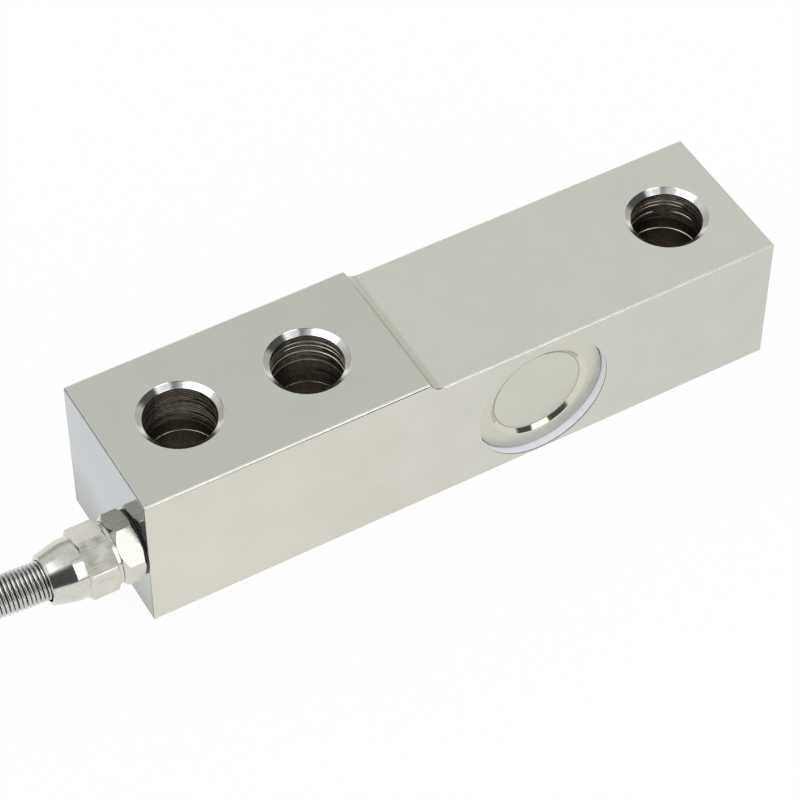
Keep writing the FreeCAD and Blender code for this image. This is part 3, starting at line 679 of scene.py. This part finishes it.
# rubber and nylon inside: moulded, with a faint even grain
seal_rubber = surface("nitrile_rubber", "#1F1F1F", "#161616", 0.5, 2500, 6, 600)
insert_rubber = surface("gland_insert_rubber", "#262626", "#1B1B1B", 0.6, 2000, 6, 500)
washer_nylon = surface("natural_nylon_washer", "#E8E8E0", "#DCDCD2", 0.4, 1200, 2, 300)


def gland_turned(name, outline, steps=128):
    return turned(name, outline, (0, entry.y, entry.z), (1, 0, 0), steps)


def hexagon(name, x_high, x_low, flats, turn, low_angle):
    """A hexagon bar along the entry axis, with its corners turned off to a cone at both ends."""
    to_corner = (flats / 2 - hex_round) / math.cos(math.pi / 6)
    ring = []
    for k in range(6):
        corner = math.radians(turn + 60 * k)
        for step in (-30, -10, 10, 30):
            a = corner + math.radians(step)
            y = to_corner * math.cos(corner) + hex_round * math.cos(a)
            z = to_corner * math.sin(corner) + hex_round * math.sin(a)
            ring.append((x_low, entry.y + y, entry.z + z))
    bm = bmesh.new()
    draw_out(bm, ring, (x_high - x_low, 0, 0))
    drawn_bar = solid_from(bm, name)
    widest = flats / math.sqrt(3)
    end = flats / 2 + cone_past_flats
    low_run = (widest - end) * math.tan(math.radians(low_angle))
    high_run = (widest - end) * math.tan(math.radians(30))
    cone = [(x_low, 0), (x_low, end), (x_low + low_run, widest)]
    cone += [(x_high - high_run, widest), (x_high, end), (x_high, 0)]
    return cut_and_join(drawn_bar, (("INTERSECT", gland_turned(name + "_cone", cone, 192)),))


def thread(x_from, x_to, radius, half_pitch=0.0005, thread_depth=0.0003):
    """Outline points of a fine thread's roots and crests between two places."""
    points = []
    steps = round(abs(x_to - x_from) / half_pitch)
    for k in range(1, steps):
        points.append((x_from + (x_to - x_from) * k / steps, radius - (thread_depth if k % 2 else 0)))
    return points


def finish_gland(piece, node):
    """The flats get the drawn finish, the nut's flat facing up and forward a darker copy as painted shade,
    their corners a paler one as painted highlight and the rest the turned one.
    """

    def choose(face):
        away = math.hypot(face.center.y - entry.y, face.center.z - entry.z)
        if abs(face.normal.x) < 0.02 and away > collar_radius - 0.0005 and face.area > 4e-6:
            # the nut's flat facing up and forward takes the darker painted shade
            painted_shade_flat = node == "dome_nut" and face.normal.y < -0.4 and face.normal.z > 0.7
            return shaded_nut_flat if painted_shade_flat else flat_nickel
        # the corners take the paler finish, a painted highlight
        return paler_corner_nickel if abs(face.normal.x) < 0.02 and away > 0.0063 else turned_nickel

    shade(piece, 8)
    finish_faces(piece, [turned_nickel, flat_nickel, shaded_nut_flat, paler_corner_nickel], choose)
    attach(piece, "root")
    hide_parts(node)


seal_inner = 0.00412
seal_outer = 0.0061
seal_edge = 0.00012
# its rounded outer edge: (in from the ring's face, radius)
third = seal_edge / 3
seal_corner = [(0, seal_outer - seal_edge), (third, seal_outer - third), (seal_edge, seal_outer)]
seal_outline = [(seal_high.x, seal_inner)] + [(seal_high.x - run, radius) for run, radius in seal_corner]
seal_outline += [(seal_low.x + run, radius) for run, radius in reversed(seal_corner)]
seal_outline.append((seal_low.x, seal_inner))
seal_ring = gland_turned("seal_ring", seal_outline)
shade(seal_ring, 50)
seal_ring.data.materials.append(seal_rubber)
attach(seal_ring, "root")
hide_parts("gland_seal_ring")

# the body: its spigot into the bar, a collar, the sleeve that the nut draws down on, and the
# passage through it, which widens for the cable and then for the rubber insert
spigot_radius = 0.004
neck_radius = 0.0038
collar_radius = 0.0053
sleeve_radius = 0.00475
spigot_end_x = body_high.x - 0.0004
neck_x = body_hex_x + 0.0003
spigot = [(body_high.x, 0), (body_high.x, 0.0036), (spigot_end_x, spigot_radius)]
spigot += thread(spigot_end_x, neck_x, spigot_radius)
spigot += [(neck_x, neck_radius), (body_hex_end + past, neck_radius), (body_hex_end + past, collar_radius)]
spigot += [(nut_start, collar_radius), (nut_start, sleeve_radius)]
spigot += thread(nut_start, body_low.x, sleeve_radius) + [(body_low.x, 0.0044), (body_low.x, 0)]
cable_hole_radius = 0.0026
insert_radius = 0.0039
jacket_stop_x = nut_low.x + 0.012
insert_stop_x = body_low.x + 0.003
passage = [(body_high.x + past, 0), (body_high.x + past, channel_radius), (jacket_stop_x, channel_radius)]
passage += [(jacket_stop_x, cable_hole_radius), (insert_stop_x, cable_hole_radius)]
passage += [(insert_stop_x, insert_radius), (body_low.x - past, insert_radius), (body_low.x - past, 0)]
gland_body = cut_and_join(
    hexagon("gland_brass_body", body_hex_x, body_hex_end, flats=0.01165, turn=42.5, low_angle=50),
    (("UNION", gland_turned("spigot", spigot)), ("DIFFERENCE", gland_turned("passage", passage))),
)
finish_gland(gland_body, "gland_body")
dress(insert_rubber, "gland_insert")
dress(washer_nylon, "slip_washer")

# the nut: a thin skirt, the hexagon, and a nose that tapers to a rounded mouth round the guard
skirt_radius = 0.00595
inside_hexagon = 0.0055
shoulder_radius = 0.00584
nose_radius = 0.00575
mouth_radius = 0.0047
mouth_round = 0.0002
nose_bulge = 0.00004
nose_steps = 8
mouth_steps = 5
taper_x = nut_hex_end - 0.00195
tip_x = nut_low.x + mouth_round
skirt_end_x = nut_hex_x - 0.00001
nose = [(nut_start, 0), (nut_start, 0.00588), (nut_start - 0.00007, skirt_radius)]
nose += [(skirt_end_x, skirt_radius), (skirt_end_x, inside_hexagon), (nut_hex_end + 0.0002, inside_hexagon)]
nose += [(nut_hex_end + 0.0002, shoulder_radius), (nut_hex_end - 0.00012, shoulder_radius)]
nose += [(nut_hex_end - 0.00016, nose_radius), (taper_x, nose_radius)]
for k in range(1, nose_steps + 1):
    share = k / nose_steps
    bulge = nose_bulge * 4 * share * (1 - share)
    radius = nose_radius + (mouth_radius - nose_radius) * share + bulge
    nose.append((taper_x + (tip_x - taper_x) * share, radius))
for k in range(1, mouth_steps + 1):
    a = math.pi / 2 * k / mouth_steps
    nose.append((tip_x - mouth_round * math.sin(a), mouth_radius - mouth_round + mouth_round * math.cos(a)))
nose.append((nut_low.x, 0))
guard_end_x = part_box("spring_guard")[1].x
nut_thread_radius = 0.00478
guard_seat_radius = 0.0046
guard_hole_radius = 0.004
sleeve_stop_x = body_low.x - 0.00003
guard_seat_x = guard_end_x - 0.00083
hollow = [(nut_start + past, 0), (nut_start + past, nut_thread_radius), (sleeve_stop_x, nut_thread_radius)]
hollow += [(sleeve_stop_x, guard_seat_radius), (guard_seat_x, guard_seat_radius)]
hollow += [(guard_seat_x, guard_hole_radius), (nut_low.x - past, guard_hole_radius), (nut_low.x - past, 0)]
tapered_nut = cut_and_join(
    hexagon("gland_brass_nut", nut_hex_x, nut_hex_end, flats=0.0117, turn=33, low_angle=30),
    (("UNION", gland_turned("nose", nose)), ("DIFFERENCE", gland_turned("hollow", hollow))),
)
finish_gland(tapered_nut, "dome_nut")

# ---- The cable ----
# A four-core screened cable, 5 mm over its dark jacket, about 3 m long.  It bends down from the
# gland to the floor, and the length that isn't needed is wound into a flat oval hank.
cable_radius = 0.0025
mouth = Vector((nut_low.x, entry.y, entry.z))
# the way from the nut's mouth down to the floor, then the tail inside the hank: (x and y from
# the mouth or the hank's left middle, height)
lead_points = [
    (0.012, 0.0, 0.0160),
    (-0.001, 0.0, 0.0160),
    (-0.014, 0.0017, 0.0155),
    (-0.027, 0.0026, 0.0124),
    (-0.041, 0.0023, 0.0079),
    (-0.054, 0.0013, 0.0049),
    (-0.067, 0.0006, 0.0029),
]
tail_points = [
    (0.019, 0.008, 0.0034),
    (0.036, 0.001, 0.0031),
    (0.047, -0.001, 0.0030),
    (0.057, -0.0004, 0.0030),
]
hank_low, hank_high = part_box("cable_hank")
hank_y = (hank_low.y + hank_high.y) / 2
outer_turn = (hank_high.y - hank_low.y) / 2 - cable_radius
inner_turn = outer_turn - 2 * cable_radius
hank_right = hank_high.x - outer_turn - cable_radius
hank_left = hank_low.x + outer_turn + cable_radius
levels = round((hank_high.z - hank_low.z) / (2 * cable_radius))
level_z = [hank_low.z + cable_radius + 2 * cable_radius * k for k in range(levels)]
bend_steps = 6
side_steps = 3
route = [Vector((mouth.x + x, mouth.y + y, z)) for x, y, z in lead_points]


def wind_bend(x, way, radius_from, radius_to, z_from, z_to):
    """Half a turn round the left (-1) or right (1) end of the hank."""
    for k in range(bend_steps):
        share = (k + 0.5) / bend_steps
        a = math.pi * share
        radius = (radius_from + (radius_to - radius_from) * share) / math.cos(math.pi / bend_steps / 2)
        y = hank_y + way * radius * math.cos(a)
        route.append(Vector((x + way * radius * math.sin(a), y, z_from + (z_to - z_from) * share)))


def wind_side(way, radius_from, radius_to, z):
    """A straight side: towards the left end along the front (-1), or back along the rear (1)."""
    x_from, x_to = (hank_right, hank_left) if way < 0 else (hank_left, hank_right)
    for k in range(side_steps):
        share = (k + 0.5) / side_steps
        y = hank_y + way * (radius_from + (radius_to - radius_from) * k / (side_steps - 1))
        route.append(Vector((x_from + (x_to - x_from) * share, y, z)))


for k, z in enumerate(level_z):
    top_level = k == levels - 1
    wind_side(-1, outer_turn, outer_turn, z)
    wind_bend(hank_left, -1, outer_turn, outer_turn, z, z)
    wind_side(1, outer_turn, inner_turn if top_level else outer_turn, z)
    if top_level:
        wind_bend(hank_right, 1, inner_turn, inner_turn, z, z)
    else:
        wind_bend(hank_right, 1, outer_turn, outer_turn, z, level_z[k + 1])
for k in range(levels - 1, 0, -1):
    below = level_z[k - 1]
    wind_side(-1, inner_turn, inner_turn, level_z[k])
    wind_bend(hank_left, -1, inner_turn, inner_turn, level_z[k], below)
    if k > 1:
        wind_side(1, inner_turn, inner_turn, below)
        wind_bend(hank_right, 1, inner_turn, inner_turn, below, below)
route += [Vector((hank_left + x, hank_y + y, z)) for x, y, z in tail_points]


def bent_curve(name, points):
    """A smooth curve from the first point to the last, bent towards those between."""
    curve = bpy.data.curves.new(name, "CURVE")
    curve.dimensions = "3D"
    curve.resolution_u = 8
    spline = curve.splines.new("NURBS")
    spline.points.add(len(points) - 1)
    for point, place in zip(spline.points, points):
        point.co = (*place, 1.0)
    spline.order_u = 3
    spline.use_endpoint_u = True
    return new_object(name, curve)


def line_of(drawn):
    """The points of a curve's own line."""
    bpy.context.view_layer.update()
    mesh = bpy.data.meshes.new_from_object(drawn)
    line = [v.co.copy() for v in mesh.vertices]
    bpy.data.meshes.remove(mesh)
    return line


signal_cable = bent_curve("signal_cable", route)
cable_line = line_of(signal_cable)
signal_cable.data.bevel_depth = cable_radius
signal_cable.data.bevel_resolution = 4
signal_cable.data.use_fill_caps = True
# plasticised PVC, extruded: a soft dull grey skin with a faint ripple
jacket = surface("soft_pvc_jacket", "#5C5D60", "#505154", 0.5, 900, 10, 120)
signal_cable.data.materials.append(jacket)
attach(signal_cable, "root")
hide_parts("cable_lead", "cable_hank", "cable_tail")

# ---- The spring guard ----
# Bright stainless wire is wound close round the lead, about ninety turns.  Its wide last turn is held
# in the nut, and it keeps the cable from kinking where it leaves the gland.
spring_wire = surface("bright_spring_wire", "#CFCDC9", "#C4C2BE", 0.12, 2500, 1, 500, 1.0)
guard_length = 0.0687
turn_pitch = 0.000765
points_a_turn = 28


def winding_tree():
    """Winds wires round the input line: one helix a strand, each swept as a thin round wire."""
    tree = bpy.data.node_groups.new("wire_winding", "GeometryNodeTree")
    sockets = tree.interface
    sockets.new_socket("Line", in_out="INPUT", socket_type="NodeSocketGeometry")
    for label in ("Turns", "Coil Radius", "Wire Radius"):
        sockets.new_socket(label, in_out="INPUT", socket_type="NodeSocketFloat")
    for label in ("Strands", "Points", "Wire Sides"):
        sockets.new_socket(label, in_out="INPUT", socket_type="NodeSocketInt")
    sockets.new_socket("Finish", in_out="INPUT", socket_type="NodeSocketMaterial")
    sockets.new_socket("Wire", in_out="OUTPUT", socket_type="NodeSocketGeometry")
    given = add(tree, "NodeGroupInput").outputs
    line = add(tree, "GeometryNodeMeshToCurve", {"Mesh": given["Line"]})
    even = add(tree, "GeometryNodeResampleCurve", {"Curve": line.outputs[0], "Count": given["Points"]})
    copies = add(
        tree,
        "GeometryNodeDuplicateElements",
        {"Geometry": even.outputs[0], "Amount": given["Strands"]},
        domain="SPLINE",
    )
    along = add(tree, "GeometryNodeSplineParameter").outputs["Factor"]
    turns = add(tree, "ShaderNodeMath", {0: along, 1: given["Turns"]}, operation="MULTIPLY")
    strand = add(tree, "ShaderNodeMath", {0: copies.outputs[1], 1: given["Strands"]}, operation="DIVIDE")
    whole = add(tree, "ShaderNodeMath", {0: turns.outputs[0], 1: strand.outputs[0]}, operation="ADD")
    angle = add(tree, "ShaderNodeMath", {0: whole.outputs[0], 1: 2 * math.pi}, operation="MULTIPLY")
    aside = add(tree, "GeometryNodeInputNormal").outputs[0]
    ahead = add(tree, "GeometryNodeInputTangent").outputs[0]
    up = add(tree, "ShaderNodeVectorMath", {0: ahead, 1: aside}, operation="CROSS_PRODUCT").outputs[0]
    parts = []
    for way, wave in ((aside, "COSINE"), (up, "SINE")):
        share = add(tree, "ShaderNodeMath", {0: angle.outputs[0]}, operation=wave).outputs[0]
        reach = add(tree, "ShaderNodeMath", {0: share, 1: given["Coil Radius"]}, operation="MULTIPLY")
        part = add(tree, "ShaderNodeVectorMath", {0: way, "Scale": reach.outputs[0]}, operation="SCALE")
        parts.append(part.outputs[0])
    out = add(tree, "ShaderNodeVectorMath", {0: parts[0], 1: parts[1]}, operation="ADD")
    placed = add(tree, "GeometryNodeSetPosition", {"Geometry": copies.outputs[0], "Offset": out.outputs[0]})
    sizes = {"Resolution": given["Wire Sides"], "Radius": given["Wire Radius"]}
    section = add(tree, "GeometryNodeCurvePrimitiveCircle", sizes)
    swept = add(
        tree,
        "GeometryNodeCurveToMesh",
        {"Curve": placed.outputs[0], "Profile Curve": section.outputs[0], "Fill Caps": True},
    )
    real = add(tree, "GeometryNodeRealizeInstances", {0: swept.outputs[0]}).outputs[0]
    finished = add(tree, "GeometryNodeSetMaterial", {"Geometry": real, "Material": given["Finish"]})
    add(tree, "NodeGroupOutput", {0: finished.outputs[0]})
    return tree


winding = winding_tree()


def wound(name, line, sizes, points, sides, finish):
    """Wires wound round a line of points, as one plain mesh."""
    path = bpy.data.meshes.new(name)
    path.from_pydata(line, [(k, k + 1) for k in range(len(line) - 1)], [])
    piece = new_object(name, path)
    maker = piece.modifiers.new("winding", "NODES")
    maker.node_group = winding
    values = {**sizes, "Points": points, "Wire Sides": sides, "Finish": finish}
    for socket in winding.interface.items_tree:
        if socket.name in values:
            maker[socket.identifier] = values[socket.name]
    made = as_plain_mesh(piece)
    shade(made, 50)
    return made


def stretch_of(line, begin, length):
    """The part of a line that starts at its point nearest to begin and is so long."""
    first = min(range(len(line)), key=lambda k: (line[k] - begin).length)
    points, left = [Vector(begin)], length
    for k in range(first + 1, len(line)):
        step = line[k] - points[-1]
        if step.length >= left:
            points.append(points[-1] + step.normalized() * left)
            break
        left -= step.length
        points.append(line[k])
    return points


guard_line = stretch_of(cable_line, Vector((guard_end_x - 0.0008, entry.y, entry.z)), guard_length)
guard_turns = guard_length / turn_pitch
guard_points = int(guard_turns * points_a_turn)
guard_sizes = {"Turns": guard_turns, "Coil Radius": 0.0034, "Wire Radius": 0.000345, "Strands": 1}
spring_guard = wound("wire_guard", guard_line, guard_sizes, guard_points, 10, spring_wire)
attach(spring_guard, "root")
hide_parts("spring_guard")

# ---- The ties round the hank ----
# A moulded nylon strap with a ladder of fine teeth goes round each side of the hank and through its
# own square head on top, where its end is cut off flush.
tie_nylon = surface("natural_nylon", "#E9E8DF", "#DEDDD2", 0.42, 700, 4, 200)
tie_thickness = 0.001
tie_from_middle = 0.012
tie_inner_corner = 0.0001
tooth_pitch = 0.00045
tooth_root, tooth_crest = 0.00060, 0.00078
# one side of the strap's section past its teeth: (from its middle, height over what it ties)
strap_side = [(0.0012, 0.00092), (0.0016, 0.00092), (0.0018, 0.00075), (0.0018, 0.0001)]
teeth_half_width = 0.0011
head_width = 0.005
head_round = 0.0005
head_slot = (0.0037, 0.0014, 0.0012)
hank_middle = (hank_left + hank_right) / 2


def strap_path(y_low, y_high, z_low, z_high, bend):
    """Points and outward ways round a rectangle with rounded corners, a tooth apart."""
    centres = [(y_high - bend, z_high - bend), (y_low + bend, z_high - bend)]
    centres += [(y_low + bend, z_low + bend), (y_high - bend, z_low + bend)]
    found = []
    corner_steps = 5
    for k, (y, z) in enumerate(centres):
        y_next, z_next = centres[(k + 1) % 4]
        for step in range(corner_steps):
            a = math.pi / 2 * (k + step / corner_steps)
            found.append((y + bend * math.cos(a), z + bend * math.sin(a), math.cos(a), math.sin(a)))
        a = math.pi / 2 * (k + 1)
        run = math.hypot(y_next - y, z_next - z)
        count = int(run / tooth_pitch)
        for step in range(count):
            share = step / count
            y_here = y + (y_next - y) * share + bend * math.cos(a)
            z_here = z + (z_next - z) * share + bend * math.sin(a)
            found.append((y_here, z_here, math.cos(a), math.sin(a)))
    return found


def block(name, size, middle, rounding=0.0):
    """A block with its edges rounded off."""
    bm = bmesh.new()
    bmesh.ops.create_cube(bm, size=1.0)
    bmesh.ops.scale(bm, vec=size, verts=bm.verts)
    bmesh.ops.translate(bm, vec=middle, verts=bm.verts)
    if rounding:
        bmesh.ops.bevel(bm, geom=bm.edges[:], offset=rounding, segments=3, profile=0.6, affect="EDGES")
    return solid_from(bm, name)


for x, word in ((hank_middle + tie_from_middle, "front"), (hank_middle - tie_from_middle, "rear")):
    tie_low, tie_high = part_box("hank_tie_" + word)
    y_low = tie_low.y + tie_thickness
    y_high = tie_high.y - tie_thickness
    z_low = tie_low.z + tie_thickness
    z_high = hank_high.z
    bm = bmesh.new()
    rings = []
    for k, (y, z, out_y, out_z) in enumerate(strap_path(y_low, y_high, z_low, z_high, tie_inner_corner)):
        right = [(teeth_half_width, tooth_root if k % 2 else tooth_crest)] + strap_side
        left = [(-across, up) for across, up in reversed(right)]
        section = left[1:] + right + left[:1]
        rings.append([bm.verts.new((x + across, y + out_y * up, z + out_z * up)) for across, up in section])
    for one, two in zip(rings, rings[1:] + rings[:1]):
        for k in range(len(one)):
            following = (k + 1) % len(one)
            bm.faces.new([one[k], one[following], two[following], two[k]])
    strap = solid_from(bm, word + "_tie")
    head_middle = (x, y_low + head_width / 2, (tie_high.z + z_high) / 2)
    head = block(word + "_tie_head", (head_width, head_width, tie_high.z - z_high), head_middle, head_round)
    slot_cut = block(word + "_tie_slot", head_slot, (x, y_low + 0.0030, tie_high.z))
    strap = cut_and_join(strap, (("UNION", cut_and_join(head, (("DIFFERENCE", slot_cut),))),))
    shade(strap, 35)
    strap.data.materials.append(tie_nylon)
    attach(strap, "root")
    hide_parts("hank_tie_" + word)

# ---- The cable's far end ----
# The jacket stops in a short black sleeve that was shrunk over it with heat.  The four cores and the
# twisted screen wire fan out of it, each core stripped to its tinned strands.
shrink_sleeve = surface("shrunk_polyolefin", "#26262A", "#1C1C1F", 0.45, 700, 8, 300)
tinned_copper = surface("tinned_copper_strands", "#BDBDBA", "#A9A9A5", 0.3, 2500, 2, 900, 1.0)
tail_end = route[-1]
tail_heading = (route[-1] - route[-2]).normalized()
sleeve_overlap = 0.007
# (along, radius): outside it over the jacket, down the step to the cores, and back inside
sleeve_outline = [(0, 0.00252), (0, 0.0029), (0.0002, 0.003), (0.0064, 0.003), (0.0072, 0.00292)]
sleeve_outline += [(0.0079, 0.0027), (0.0086, 0.00262), (0.0118, 0.0026), (0.012, 0.0025)]
sleeve_outline += [(0.012, 0.00225), (0.0082, 0.00225), (0.0071, 0.00252)]
sleeve_start = tail_end - tail_heading * sleeve_overlap
sleeve = turned("shrunk_sleeve", sleeve_outline, sleeve_start, tail_heading, 64)
shade(sleeve, 40)
sleeve.data.materials.append(shrink_sleeve)
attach(sleeve, "root")
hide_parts("tail_sleeve")

aside = Vector((0, 0, 1)).cross(tail_heading)


def fanned(bends):
    """Points by how far along the sleeve's axis, how far aside and how high above the floor."""
    flat_end = Vector((tail_end.x, tail_end.y, 0))
    return [flat_end + tail_heading * s + aside * a + Vector((0, 0, z)) for s, a, z in bends]


# where each core bends and ends: (along the sleeve's axis, aside, height)
core_ends = {
    "red": [(0.017, 0.0044, 0.00075), (0.028, 0.008, 0.00062)],
    "black": [(0.016, 0.0019, 0.00075), (0.029, 0.0032, 0.00062)],
    "green": [(0.017, -0.0046, 0.00075), (0.027, -0.0084, 0.00062)],
    "white": [(0.016, -0.002, 0.00075), (0.029, -0.0036, 0.00062)],
}
strip_step = 0.001
tip_sizes = {"Turns": 0.8, "Coil Radius": 0.00022, "Wire Radius": 0.00012, "Strands": 6}
bare_tips = []
for colour, bends in core_ends.items():
    dress(core_covers[colour], "tail_core_" + colour)
    before, end = fanned(bends)
    heading = (end - before).normalized()
    line = [end - heading * strip_step + heading * strip_step * k for k in range(7)]
    bare_tips.append(wound(colour + "_tip", line, tip_sizes, 16, 8, tinned_copper))
drain_bends = [(0, 0, 0.003), (0.007, 0, 0.003), (0.015, 0.0001, 0.0012), (0.023, -0.0002, 0.00085)]
drain_curve = bent_curve("drain_line", fanned(drain_bends))
drain_line = line_of(drain_curve)
bpy.data.objects.remove(drain_curve)
drain_sizes = {"Turns": 4, "Coil Radius": 0.00048, "Wire Radius": 0.00027, "Strands": 6}
drain_wire = wound("screen_wire", drain_line, drain_sizes, 60, 8, tinned_copper)
strands = bmesh.new()
for tip in bare_tips:
    strands.from_mesh(tip.data)
    bpy.data.objects.remove(tip)
core_tips = bpy.data.meshes.new("stripped_tips")
strands.to_mesh(core_tips)
strands.free()
core_tips.materials.append(tinned_copper)
stripped_tips = new_object("stripped_tips", core_tips)
for piece, node in ((stripped_tips, "tail_core_tips"), (drain_wire, "tail_shield_drain")):
    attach(piece, "root")
    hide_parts(node)
